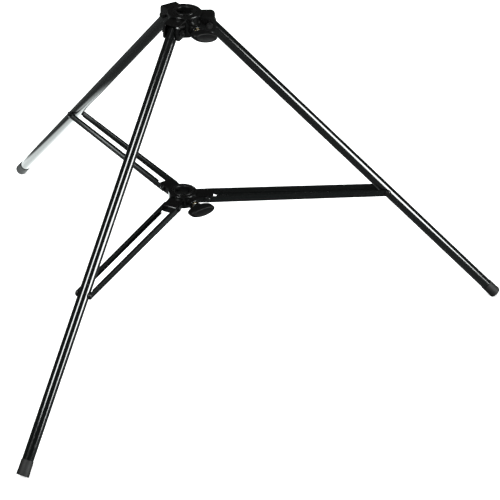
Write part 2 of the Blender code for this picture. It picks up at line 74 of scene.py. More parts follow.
class Axis(Enum):
    """The axes of a sub-assembly's own frame."""

    X = (1.0, 0.0, 0.0)
    Y = (0.0, 1.0, 0.0)
    Z = (0.0, 0.0, 1.0)

    @property
    def vector(self) -> Vector:
        """The axis as a vector."""
        return Vector(self.value)


class Grain(Enum):
    """The fine relief of a finish: its scale per metre, its depth and its share of pits."""

    GLOSS_PAINT = (420.0, 0.000005, 0.0)
    SATIN_PAINT = (500.0, 0.00001, 0.0)
    MOULDED = (1500.0, 0.00003, 0.55)
    SMOOTH_MOULDED = (1200.0, 0.00002, 0.55)
    RUBBER = (1400.0, 0.00006, 0.8)
    METAL = (900.0, 0.00001, 0.0)


# ---- places read from the frame ----
class StandFrame:
    """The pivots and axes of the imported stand."""

    def __init__(self, record: dict) -> None:
        """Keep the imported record's joints by name."""
        self.joints = {joint["name"]: joint for joint in record["behaviour"]["joints"]}

    def pivot(self, joint: str) -> Vector:
        """Return the point that a joint turns about."""
        return Vector(self.joints[joint]["pos_m"])

    def axis(self, joint: str) -> Vector:
        """Return the direction of a joint's axis."""
        return Vector(self.joints[joint]["axis"]).normalized()

    @staticmethod
    def middle(node: str) -> Vector:
        """Return the centre of a node's box."""
        low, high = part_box(node)
        return 0.5 * (low + high)

    def pole_foot(self) -> Vector:
        """Return the point on the floor under the pole."""
        hub_pivots = [self.pivot(f"leg_{leg}_fold") for leg in LEGS]
        centre = sum(hub_pivots, Vector((0.0, 0.0, 0.0))) / len(hub_pivots)
        return Vector((centre.x, centre.y, 0.0))

    def outward(self, leg: str) -> Vector:
        """Return the level direction from the pole to a leg."""
        reach = self.pivot(f"leg_{leg}_fold") - self.pole_foot()
        return Vector((reach.x, reach.y, 0.0)).normalized()

    @staticmethod
    def from_axes(origin: Vector, along_x: Vector, along_z: Vector) -> Matrix:
        """Return the matrix that brings an own frame to an origin and to directions of its X and Z."""
        turn = Matrix((along_x, along_z.cross(along_x), along_z)).transposed().to_4x4()
        return Matrix.Translation(origin) @ turn

    def casting_place(self, joint: str) -> Matrix:
        """Return the place of a casting whose pivots lie at the height of a joint."""
        foot = self.pole_foot()
        return Matrix.Translation((foot.x, foot.y, self.pivot(joint).z))

    def arm_place(self, leg: str) -> Matrix:
        """Return the place of a leg's bolt: X outward, Z up."""
        return self.from_axes(self.pivot(f"leg_{leg}_fold"), self.outward(leg), Axis.Z.vector)

    def leg_place(self, leg: str) -> Matrix:
        """Return the place of a leg: origin at its hub pivot, tube down its own -Z."""
        up_tube = (self.pivot(f"leg_{leg}_fold") - self.middle(f"strut_pin_{leg}")).normalized()
        across = Axis.Z.vector.cross(self.outward(leg))
        return self.from_axes(self.pivot(f"leg_{leg}_fold"), across.cross(up_tube), up_tube)

    def strut_place(self, leg: str) -> Matrix:
        """Return the place of a pair of struts: origin at the collar's pivot, bars along X."""
        start = self.pivot(f"struts_{leg}_fold")
        along = (self.middle(f"strut_pin_{leg}") - start).normalized()
        across = Axis.Z.vector.cross(self.outward(leg))
        return self.from_axes(start, along, along.cross(across))

    def strut_length(self, leg: str) -> float:
        """Return the distance between the two pivots of a strut."""
        return (self.middle(f"strut_pin_{leg}") - self.pivot(f"struts_{leg}_fold")).length

    def clamp_place(self, clamp: str) -> Matrix:
        """Return the place of a clamp: origin on the pole's axis, X out along the screw."""
        joint = f"{clamp}_clamp_turn"
        foot = self.pole_foot()
        origin = Vector((foot.x, foot.y, self.pivot(joint).z))
        return self.from_axes(origin, -self.axis(joint), Axis.Z.vector)


# ---- shapes ----
class Shape:
    """A closed mesh under construction, in its sub-assembly's own frame."""

    def __init__(self) -> None:
        """Start empty."""
        self.bm = bmesh.new()

    @classmethod
    def turned(cls, outline: Sequence[Sequence[float]], steps: int = FINE, segments: int = 4) -> "Shape":
        """Spin an outline about Z and round its corners.

        Args:
            outline: Radius, height and any rounding of each corner in order.
            steps: Sides of the round.
            segments: Segments of each rounding.

        Returns:
            The turned shape, closed where its corners lie on the axis.
        """
        shape = cls()
        bm = shape.bm
        verts = [bm.verts.new((radius, 0.0, z)) for radius, z, *_ in outline]
        edges = [bm.edges.new(pair) for pair in zip(verts, verts[1:] + verts[:1])]
        bmesh.ops.spin(bm, geom=verts + edges, axis=Axis.Z.value, cent=ORIGIN, angle=2.0 * math.pi,
                       steps=steps, use_merge=True)
        bmesh.ops.remove_doubles(bm, verts=bm.verts, dist=MERGE)
        loose = [edge for edge in bm.edges if not edge.link_faces]
        bmesh.ops.delete(bm, geom=loose, context="EDGES")
        for radius, z, *rounding in outline:
            if any(rounding):
                shape.round_edges(lambda edge, ring=(radius, z): _on_ring(edge, *ring), rounding[0], segments)
        return shape

    @classmethod
    def extruded(cls, outline: Sequence[tuple[float, float, float]], offset: Sequence[float]) -> "Shape":
        """Extrude a closed outline by an offset and return the solid."""
        shape = cls()
        face = shape.bm.faces.new([shape.bm.verts.new(point) for point in outline])
        grown = bmesh.ops.extrude_face_region(shape.bm, geom=[face])["geom"]
        raised = [item for item in grown if isinstance(item, bmesh.types.BMVert)]
        bmesh.ops.translate(shape.bm, verts=raised, vec=Vector(offset))
        return shape

    @classmethod
    def block(cls, low: Sequence[float], high: Sequence[float]) -> "Shape":
        """Return a box between two corners."""
        shape = cls()
        bmesh.ops.create_cube(shape.bm, size=1.0)
        size = [b - a for a, b in zip(low, high)]
        bmesh.ops.scale(shape.bm, verts=shape.bm.verts, vec=size)
        return shape.moved([0.5 * (a + b) for a, b in zip(low, high)])

    @classmethod
    def hexagon(cls, across_flats: float, low: float, high: float) -> "Shape":
        """Return a hexagonal prism about Z."""
        shape = cls()
        radius = across_flats / math.sqrt(3.0)
        bmesh.ops.create_cone(shape.bm, cap_ends=True, segments=6, radius1=radius, radius2=radius,
                              depth=high - low)
        return shape.moved((0.0, 0.0, 0.5 * (low + high)))

    @classmethod
    def thread(cls, radius: float, pitch: float, low: float, high: float) -> "Shape":
        """Return a helical ridge about Z.

        Args:
            radius: Outside radius of the thread.
            pitch: Rise of one turn.
            low: Where the ridge starts.
            high: Where it ends.

        Returns:
            The ridge, closed at both ends.
        """
        shape = cls()
        root = radius - 0.72 * pitch
        outline = ((root, -0.48), (root, 0.48), (radius, 0.07), (radius, -0.07))
        face = shape.bm.faces.new([shape.bm.verts.new((r, 0.0, low + z * pitch)) for r, z in outline])
        turns = max(1, round((high - low) / pitch))
        steps = 24 * turns
        bmesh.ops.spin(shape.bm, geom=[face], axis=Axis.Z.value, cent=ORIGIN,
                       dvec=(0.0, 0.0, (high - low) / steps), angle=2.0 * math.pi * turns, steps=steps,
                       use_merge=False)
        return shape

    def round_edges(self, chosen: Callable[[bmesh.types.BMEdge], bool], radius: float,
                    segments: int = 3) -> "Shape":
        """Round the edges that a test picks."""
        edges = [edge for edge in self.bm.edges if chosen(edge)]
        if edges:
            bmesh.ops.bevel(self.bm, geom=edges, offset=radius, offset_type="OFFSET", segments=segments,
                            profile=0.5, affect="EDGES", clamp_overlap=True, material=-1)
        return self

    def round_rims(self, radius: float) -> "Shape":
        """Round the sharp edges that lie square to Y."""
        return self.round_edges(
            lambda edge: abs(edge.verts[0].co.y - edge.verts[1].co.y) < MERGE
            and len(edge.link_faces) == 2 and edge.calc_face_angle(0.0) > RIM_ANGLE, radius)

    def scaled(self, factors: Sequence[float]) -> "Shape":
        """Scale the shape about the origin."""
        bmesh.ops.scale(self.bm, verts=self.bm.verts, vec=factors)
        return self

    def moved(self, offset: Sequence[float]) -> "Shape":
        """Shift the shape."""
        bmesh.ops.translate(self.bm, verts=self.bm.verts, vec=Vector(offset))
        return self

    def spun(self, turn: Matrix) -> "Shape":
        """Turn the shape about the origin by a matrix."""
        bmesh.ops.rotate(self.bm, verts=self.bm.verts, cent=ORIGIN, matrix=turn)
        return self

    def rotated(self, angle: float, axis: Axis) -> "Shape":
        """Turn the shape about an axis through the origin."""
        return self.spun(Matrix.Rotation(angle, 3, axis.vector))

    def laid(self, direction: Sequence[float]) -> "Shape":
        """Turn a shape drawn about +Z so that its axis points along a direction."""
        return self.spun(Axis.Z.vector.rotation_difference(Vector(direction)).to_matrix())

    def facing(self, direction: Vector) -> "Shape":
        """Turn a shape drawn along X to a level direction."""
        return self.rotated(math.atan2(direction.y, direction.x), Axis.Z)

    def mesh(self, name: str) -> bpy.types.Mesh:
        """Return the shape as a mesh, and free it."""
        mesh = bpy.data.meshes.new(name)
        self.bm.to_mesh(mesh)
        self.bm.free()
        return mesh

    def with_shell(self, other: "Shape") -> "Shape":
        """Add another closed shell to the same piece."""
        mesh = other.mesh("shell")
        self.bm.from_mesh(mesh)
        bpy.data.meshes.remove(mesh)
        return self

    def helper(self) -> bpy.types.Object:
        """Return the shape as a helper object."""
        bmesh.ops.recalc_face_normals(self.bm, faces=self.bm.faces)
        return linked("helper", self.mesh("helper"))

    def worked(self, joins: Iterable["Shape"] = (), cuts: Iterable["Shape"] = (),
               edge: float = 0.0) -> "Shape":
        """Join shapes, cut others away, then soften what edges are left sharp.

        Args:
            joins: Shapes to join.
            cuts: Shapes to cut away.
            edge: Width of the softened edges.

        Returns:
            The worked shape.
        """
        base = self.helper()
        helpers = []
        for operation, shapes in (("UNION", joins), ("DIFFERENCE", cuts)):
            for shape in shapes:
                helpers.append(shape.helper())
                modifier = base.modifiers.new("work", "BOOLEAN")
                modifier.object = helpers[-1]
                modifier.operation = operation
                modifier.solver = "EXACT"
        if edge > 0.0:
            bevel = base.modifiers.new("soft_edges", "BEVEL")
            bevel.width = edge
            bevel.segments = 2
            bevel.limit_method = "ANGLE"
            bevel.angle_limit = SOFTENED_ANGLE
            bevel.use_clamp_overlap = True
        bpy.context.view_layer.update()
        evaluated = base.evaluated_get(bpy.context.evaluated_depsgraph_get())
        result = Shape()
        result.bm.from_mesh(evaluated.to_mesh())
        evaluated.to_mesh_clear()
        for item in (base, *helpers):
            mesh = item.data
            bpy.data.objects.remove(item, do_unlink=True)
            bpy.data.meshes.remove(mesh)
        return result


def _on_ring(edge: bmesh.types.BMEdge, radius: float, z: float) -> bool:
    """Tell whether an edge lies on the ring that a corner was spun into."""
    return all(abs(vert.co.z - z) < NEAR and abs(vert.co.xy.length - radius) < NEAR for vert in edge.verts)


def linked(name: str, data: bpy.types.ID) -> bpy.types.Object:
    """Make an object of some data and link it to the scene."""
    item = bpy.data.objects.new(name, data)
    bpy.context.scene.collection.objects.link(item)
    return item


def rod(radius: float, low: float, high: float, rounding: float = 0.0, steps: int = MEDIUM) -> Shape:
    """Return a solid rod about Z, its rims rounded."""
    return Shape.turned([(0.0, low), (radius, low, rounding), (radius, high, rounding), (0.0, high)], steps)


def sleeve(inner: float, outer: float, low: float, high: float, rounding: float = 0.0,
           steps: int = MEDIUM) -> Shape:
    """Return a ring about Z, its rims rounded."""
    return Shape.turned([(inner, low, rounding), (outer, low, rounding), (outer, high, rounding),
                         (inner, high, rounding)], steps)


# ---- finishes ----
def add_node(tree: bpy.types.NodeTree, kind: str, values: dict[str | int, object] | None = None,
             **settings: object) -> bpy.types.Node:
    """Add a shader node.

    Args:
        tree: The tree that it goes into.
        kind: Its type, without the prefix.
        values: Values of its input sockets.
        settings: Its own settings.

    Returns:
        The node.
    """
    node = tree.nodes.new("ShaderNode" + kind)
    for name, value in settings.items():
        setattr(node, name, value)
    for socket, value in (values or {}).items():
        node.inputs[socket].default_value = value
    return node


def link(tree: bpy.types.NodeTree,
         *wires: tuple[bpy.types.Node, str | int, bpy.types.Node, str | int]) -> None:
    """Lay wires, each from a node's output to a node's input."""
    for source, output, target, entry in wires:
        tree.links.new(source.outputs[output], target.inputs[entry])


def new_material(name: str, values: dict[str, object]) -> tuple[
        bpy.types.Material, bpy.types.NodeTree, bpy.types.Node]:
    """Make a material.

    Args:
        name: Its name.
        values: Values of its shader's sockets.

    Returns:
        The material, its tree and its shader.
    """
    material = bpy.data.materials.new(name)
    material.use_nodes = True
    shader = material.node_tree.nodes["Principled BSDF"]
    for socket, value in values.items():
        shader.inputs[socket].default_value = value
    return material, material.node_tree, shader


class Effects:
    """Node groups that several finishes share, each built once."""

    def __init__(self) -> None:
        """Build the groups."""
        self.skin = self._skin()
        self.wear = self._patchy("edge_wear", "Pointiness", (0.52, 0.62), (180.0, 4.0), (0.42, 0.66))
        self.dust = self._patchy("settled_dust", "Facing", (0.15, 1.0), (900.0, 2.0), (0.52, 0.75))

    @staticmethod
    def _group(name: str, inputs: Sequence[str], outputs: Sequence[str]) -> tuple:
        """Make an empty group.

        Args:
            name: The group's name.
            inputs: Names of its inputs; Place and Facing are vectors, the rest are numbers.
            outputs: Names of its outputs, all numbers.

        Returns:
            The group's tree, its start and its end.
        """
        tree = bpy.data.node_groups.new(name, "ShaderNodeTree")
        for in_out, labels in (("INPUT", inputs), ("OUTPUT", outputs)):
            for label in labels:
                kind = "NodeSocketVector" if label in ("Place", "Facing") else "NodeSocketFloat"
                tree.interface.new_socket(name=label, in_out=in_out, socket_type=kind)
        return tree, tree.nodes.new("NodeGroupInput"), tree.nodes.new("NodeGroupOutput")

    def _skin(self) -> bpy.types.NodeTree:
        """Fine relief with a slow drift, as on a sprayed or moulded skin."""
        tree, start, end = self._group("fine_skin", ("Place", "Relief Scale", "Drift Scale", "Pits"),
                                       ("Height", "Drift"))
        relief = add_node(tree, "TexNoise", {"Detail": 3.0, "Roughness": 0.55})
        pits = add_node(tree, "TexVoronoi", {"Smoothness": 0.6}, feature="SMOOTH_F1")
        drift = add_node(tree, "TexNoise", {"Detail": 5.0, "Roughness": 0.6})
        mix = add_node(tree, "Mix")
        for texture, scale in ((relief, "Relief Scale"), (pits, "Relief Scale"), (drift, "Drift Scale")):
            link(tree, (start, "Place", texture, "Vector"), (start, scale, texture, "Scale"))
        link(tree, (start, "Pits", mix, "Factor"), (relief, "Fac", mix, "A"), (pits, "Distance", mix, "B"),
             (mix, "Result", end, "Height"), (drift, "Fac", end, "Drift"))
        return tree

    def _patchy(self, name: str, source: str, bounds: tuple[float, float], noise: tuple[float, float],
                ramp: tuple[float, float]) -> bpy.types.NodeTree:
        """Make a mask of one input, broken up by noise.

        Args:
            name: The group's name.
            source: The input; of Facing, the part that looks up counts.
            bounds: Where the input starts to count, and where it counts in full.
            noise: Scale and detail of the noise.
            ramp: Where the noise starts to count, and where it counts in full.

        Returns:
            The group's tree.
        """
        tree, start, end = self._group(name, (source, "Place", "Amount"), ("Mask",))
        counted = add_node(tree, "MapRange", {"From Min": bounds[0], "From Max": bounds[1]})
        specks = add_node(tree, "TexNoise", {"Scale": noise[0], "Detail": noise[1]})
        patches = add_node(tree, "MapRange", {"From Min": ramp[0], "From Max": ramp[1]})
        both = add_node(tree, "Math", operation="MULTIPLY")
        scaled = add_node(tree, "Math", operation="MULTIPLY", use_clamp=True)
        if source == "Facing":
            split = add_node(tree, "SeparateXYZ")
            link(tree, (start, source, split, "Vector"), (split, "Z", counted, "Value"))
        else:
            link(tree, (start, source, counted, "Value"))
        link(tree, (start, "Place", specks, "Vector"), (specks, "Fac", patches, "Value"),
             (counted, "Result", both, 0), (patches, "Result", both, 1), (both, "Value", scaled, 0),
             (start, "Amount", scaled, 1), (scaled, "Value", end, "Mask"))
        return tree


Colour = tuple[float, float, float]


def grey(level: float) -> Colour:
    """Return a neutral colour."""
    return (level, level, level)


@dataclass(frozen=True)
class Finish:
    """What a surface is made of.

    Args:
        slot: Name that the material is called after.
        colour: Base colour.
        rubbed: Colour where edges are rubbed.
        roughness: Middle roughness.
        spread: How far the roughness drifts to either side.
        grain: The fine relief.
        metallic: Metallic share.
        specular: Specular level of the bare surface.
        coat: Weight of a clear coat.
        coat_roughness: Roughness of that coat.
        wear: Share of rubbed edges.
        dust: Share of settled dust.
    """

    slot: str
    colour: Colour
    rubbed: Colour
    roughness: float
    spread: float
    grain: Grain
    metallic: float = 0.0
    specular: float = 0.5
    coat: float = 0.0
    coat_roughness: float = 0.05
    wear: float = 0.3
    dust: float = 0.1
    drift_scale: float = 22.0
    least_roughness: float = 0.02
    dust_colour: Colour = (0.12, 0.12, 0.11)
    dust_dulling: float = 0.5

    def material(self, effects: Effects) -> bpy.types.Material:
        """Build the node material.

        Args:
            effects: The shared node groups.

        Returns:
            The finished material.
        """
        material, tree, shader = new_material(f"{self.slot}_finish", {
            "Metallic": self.metallic, "Specular IOR Level": self.specular, "Coat Weight": self.coat,
            "Coat Roughness": self.coat_roughness})
        scale, depth, pits = self.grain.value
        place, surface = add_node(tree, "TexCoord"), add_node(tree, "NewGeometry")
        skin, wear, dust = (add_node(tree, "Group", values, node_tree=group) for group, values in (
            (effects.skin, {"Relief Scale": scale, "Drift Scale": self.drift_scale, "Pits": pits}),
            (effects.wear, {"Amount": self.wear}), (effects.dust, {"Amount": self.dust})))
        rubbed = add_node(tree, "Mix", {COLOUR_LOW: (*self.colour, 1.0), COLOUR_HIGH: (*self.rubbed, 1.0)},
                          data_type="RGBA")
        dusty = add_node(tree, "Mix", {COLOUR_HIGH: (*self.dust_colour, 1.0)}, data_type="RGBA")
        drift = add_node(tree, "MapRange", {"From Min": 0.3, "From Max": 0.7,
                                            "To Min": max(self.least_roughness, self.roughness - self.spread),
                                            "To Max": self.roughness + self.spread})
        duller = add_node(tree, "Math", {1: self.dust_dulling}, operation="MULTIPLY_ADD", use_clamp=True)
        bump = add_node(tree, "Bump", {"Strength": 1.0, "Distance": depth})
        link(tree, *((place, "Object", group, "Place") for group in (skin, wear, dust)),
             (surface, "Pointiness", wear, "Pointiness"), (surface, "Normal", dust, "Facing"),
             (wear, "Mask", rubbed, "Factor"), (dust, "Mask", dusty, "Factor"),
             (rubbed, COLOUR_OUT, dusty, COLOUR_LOW), (dusty, COLOUR_OUT, shader, "Base Color"),
             (skin, "Drift", drift, "Value"), (dust, "Mask", duller, 0), (drift, "Result", duller, 2),
             (duller, "Value", shader, "Roughness"), (skin, "Height", bump, "Height"),
             (bump, "Normal", shader, "Normal"))
        return material


FINISHES = {
    "tube": Finish("black_gloss_tube", (0.0022, 0.0026, 0.0026), grey(0.012), 0.14, 0.03, Grain.GLOSS_PAINT,
                   specular=0.45, coat=0.5, coat_roughness=0.06, wear=0.2, dust=0.05),
    "strut": Finish("black_painted_strut", (0.003, 0.0036, 0.0036), grey(0.02), 0.24, 0.05,
                    Grain.SATIN_PAINT, specular=0.3, wear=0.35, dust=0.06),
    "casting": Finish("black_cast_plastic", grey(0.0022), grey(0.012), 0.19, 0.05, Grain.MOULDED,
                      specular=0.45, dust=0.05),
    "liner": Finish("pole_liner_plastic", grey(0.003), grey(0.015), 0.28, 0.05, Grain.SMOOTH_MOULDED,
                    wear=0.4, dust=0.06),
    "plug": Finish("tube_plug_plastic", grey(0.003), grey(0.012), 0.42, 0.06, Grain.MOULDED),
    "knob": Finish("black_knob_plastic", grey(0.0022), grey(0.012), 0.45, 0.06, Grain.MOULDED,
                   specular=0.15, dust=0.05),
    "rubber": Finish("foot_rubber", grey(0.004), grey(0.015), 0.62, 0.08, Grain.RUBBER, specular=0.35,
                     wear=0.4, dust=0.12),
    "bolt": Finish("blackened_steel_bolt", grey(0.03), grey(0.12), 0.3, 0.08, Grain.METAL, metallic=0.85,
                   wear=0.5, dust=0.03),
    "zinc": Finish("zinc_plated_screw", (0.5, 0.5, 0.48), (0.65, 0.65, 0.63), 0.28, 0.08, Grain.METAL,
                   metallic=1.0, wear=0.4, dust=0.03),
    "brass": Finish("brass_insert", (0.35, 0.27, 0.14), (0.5, 0.4, 0.22), 0.35, 0.08, Grain.METAL,
                    metallic=1.0, wear=0.4, dust=0.03),
    "nylon": Finish("black_nylon", grey(0.012), grey(0.04), 0.45, 0.06, Grain.MOULDED),
}


@dataclass(kw_only=True)
class SubAssembly:
    """Pieces that share one frame of reference.

    Args:
        label: What the sub-assembly is called in the log.
        place: Matrix from its own frame to the row frame.
        pieces: Each finished piece with the name of its finish.
    """

    label: str
    place: Matrix
    pieces: list[tuple[bpy.types.Object, str]] = field(default_factory=list, init=False)

    def build(self) -> None:
        """Model the pieces."""
        raise NotImplementedError

    def keep(self, shape: Shape, node: str, body: str, finish: str) -> None:
        """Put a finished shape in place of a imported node.

        Args:
            shape: The shape, in the sub-assembly's own frame.
            node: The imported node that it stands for.
            body: The body that it rides on.
            finish: The name of its finish.
        """
        bm = shape.bm
        bmesh.ops.remove_doubles(bm, verts=bm.verts, dist=MERGE)
        bmesh.ops.transform(bm, matrix=self.place, verts=bm.verts)
        bmesh.ops.recalc_face_normals(bm, faces=bm.faces)
        mesh = shape.mesh(node + "_fine")
        mesh.shade_smooth()
        mesh.set_sharp_from_angle(angle=SHARP_ANGLE)
        piece = linked(node + "_fine", mesh)
        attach(piece, body)
        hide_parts(node)
        self.pieces.append((piece, finish))

    def dress(self, materials: dict[str, bpy.types.Material]) -> None:
        """Give each piece its material."""
        for piece, finish in self.pieces:
            piece.data.materials.clear()
            piece.data.materials.append(materials[finish])

    def report(self) -> None:
        """Log each piece."""
        for piece, finish in self.pieces:
            LOG.info("%s: %s, %s, %d faces", self.label, piece.name, finish, len(piece.data.polygons))


# ---- castings ----
@dataclass(kw_only=True)
class Casting(SubAssembly):
    """A moulded body round the pole, with a liner, and a boss for its clamp.

    Args:
        level: Which casting, upper or lower.
        body: The body that it rides on.
        clamp_height: Height of the clamp's line above the pivots.
        clamp_direction: Level direction of the clamp's line.
        directions: Level direction of each arm.
    """

    level: str
    body: str
    clamp_height: float
    clamp_direction: Vector
    directions: Sequence[Vector]
    radius: float
    low: float
    high: float
    ring_rim: float = 1.6 * MM
    pivot_radius: float
    pivot_hole: float
    arm_reach: float
    arm_half_width: float
    arm_low: float
    arm_high: float
    arm_corner: float
    arm_rim: float
    arm_root: float = 20.0 * MM
    bore: float = 17.75 * MM
    liner_wall: float = 2.0 * MM
    liner_flange_radius: float = 25.0 * MM
    liner_flange: float = 2.0 * MM
    gap: float = 0.3 * MM
    boss_radius: float = 11.8 * MM
    boss_start: float = 15.0 * MM
    boss_reach: float = 50.0 * MM
    boss_rim: float = 1.4 * MM
    way_radius: float = 6.5 * MM
    way_start: float = 5.0 * MM
    way_end: float = 26.0 * MM
    screw_hole: float = 5.6 * MM
    insert_seat: float = 35.7 * MM
    insert_hole: float = 7.8 * MM
    past: float = 5.0 * MM
    softened: float = 0.45 * MM

    def along_clamp(self, shape: Shape) -> Shape:
        """Lay a shape drawn about +Z along the clamp's line."""
        return shape.laid(self.clamp_direction).moved((0.0, 0.0, self.clamp_height))

    def boss(self) -> Shape:
        """Return the boss that holds the clamp screw."""
        outline = [(0.0, self.boss_start), (self.boss_radius, self.boss_start),
                   (self.boss_radius, self.boss_reach, self.boss_rim), (0.0, self.boss_reach)]
        return self.along_clamp(Shape.turned(outline, MEDIUM))

    def clamp_way(self) -> Shape:
        """Return the stepped hole for pad, screw and insert."""
        end = self.boss_reach + self.past
        outline = [(0.0, self.way_start), (self.way_radius, self.way_start), (self.way_radius, self.way_end),
                   (self.screw_hole, self.way_end), (self.screw_hole, self.insert_seat),
                   (self.insert_hole, self.insert_seat), (self.insert_hole, end), (0.0, end)]
        return self.along_clamp(Shape.turned(outline, MEDIUM))

    def liner(self) -> Shape:
        """Return the flanged sleeve in the bore, with the pad's window and a lead-in."""
        outer, seat, top = self.bore + self.liner_wall, self.high + self.gap, self.high + self.liner_flange
        outline = [(self.bore, self.low, 0.5 * MM), (outer, self.low, 0.3 * MM), (outer, seat),
                   (self.liner_flange_radius, seat, 0.3 * MM), (self.liner_flange_radius, top, 0.8 * MM),
                   (self.bore, top, 1.2 * MM)]
        window = self.along_clamp(rod(self.way_radius, 9.0 * MM, 30.0 * MM))
        return Shape.turned(outline).worked(cuts=[window])

    def arm(self) -> Shape:
        """Return an arm along X with rounded outer corners and soft rims."""
        reach, half = self.arm_reach, self.arm_half_width
        outline = [(x, -half, z) for x, z in ((self.arm_root, self.arm_low), (reach, self.arm_low),
                                              (reach, self.arm_high), (self.arm_root, self.arm_high))]
        arm = Shape.extruded(outline, (0.0, 2.0 * half, 0.0))
        arm.round_edges(lambda edge: all(vert.co.x > reach - NEAR for vert in edge.verts)
                        and abs(edge.verts[0].co.y - edge.verts[1].co.y) > half, self.arm_corner, 10)
        return arm.round_rims(self.arm_rim)

    def ring(self) -> Shape:
        """Return the solid ring."""
        return rod(self.radius, self.low, self.high, self.ring_rim, FINE)

    def slots(self) -> list[Shape]:
        """Return the slots through the arms, where there are any."""
        return []

    def build(self) -> None:
        """Model the casting and its liner."""
        arms = [self.arm().facing(direction) for direction in self.directions]
        holes = [rod(self.pivot_hole, -THROUGH, THROUGH).laid(Axis.Z.vector.cross(direction))
                 .moved(self.pivot_radius * direction) for direction in self.directions]
        bore = rod(self.bore + self.liner_wall + self.gap, self.low - MM, self.high + MM, steps=FINE)
        casting = self.ring().worked([self.boss(), *arms], [*self.slots(), self.clamp_way(), *holes, bore],
                                     self.softened)
        self.keep(casting, f"{self.level}_{self.body}", self.body, "casting")
        self.keep(self.liner(), f"{self.level}_pole_liner", self.body, "liner")


@dataclass(kw_only=True)
class UpperHub(Casting):
    """The upper casting: a flanged ring with three slotted arms that the legs hang in."""

    radius: float = 35.5 * MM
    low: float = -22.0 * MM
    high: float = 27.0 * MM
    flange_radius: float = 38.0 * MM
    flange_bottom: float = 20.4 * MM
    pivot_radius: float = 54.0 * MM
    pivot_hole: float = 4.3 * MM
    arm_reach: float = 68.5 * MM
    arm_half_width: float = 18.6 * MM
    arm_low: float = -17.0 * MM
    arm_high: float = 21.0 * MM
    arm_corner: float = 10.0 * MM
    arm_rim: float = 1.3 * MM
    slot_half_width: float = 13.2 * MM
    slot_start: float = 35.9 * MM
    slot_roof: float = 18.4 * MM

    def ring(self) -> Shape:
        """Return the solid ring with its flange."""
        return Shape.turned([(0.0, self.low), (self.radius, self.low, self.ring_rim),
                             (self.radius, self.flange_bottom),
                             (self.flange_radius, self.flange_bottom, 0.8 * MM),
                             (self.flange_radius, self.high, 1.8 * MM), (0.0, self.high)])

    def slots(self) -> list[Shape]:
        """Return the slots that the legs hang in."""
        low = (self.slot_start, -self.slot_half_width, self.arm_low - self.past)
        high = (self.arm_reach + self.past, self.slot_half_width, self.slot_roof)
        return [Shape.block(low, high).facing(direction) for direction in self.directions]


@dataclass(kw_only=True)
class LowerCollar(Casting):
    """The lower casting: a ring with three lugs that the struts are riveted to."""

    radius: float = 32.5 * MM
    low: float = -15.0 * MM
    high: float = 15.0 * MM
    pivot_radius: float = 56.0 * MM
    pivot_hole: float = 4.35 * MM
    arm_reach: float = 70.0 * MM
    arm_half_width: float = 16.8 * MM
    arm_low: float = -9.5 * MM
    arm_high: float = 9.5 * MM
    arm_corner: float = 4.0 * MM
    arm_rim: float = 1.5 * MM


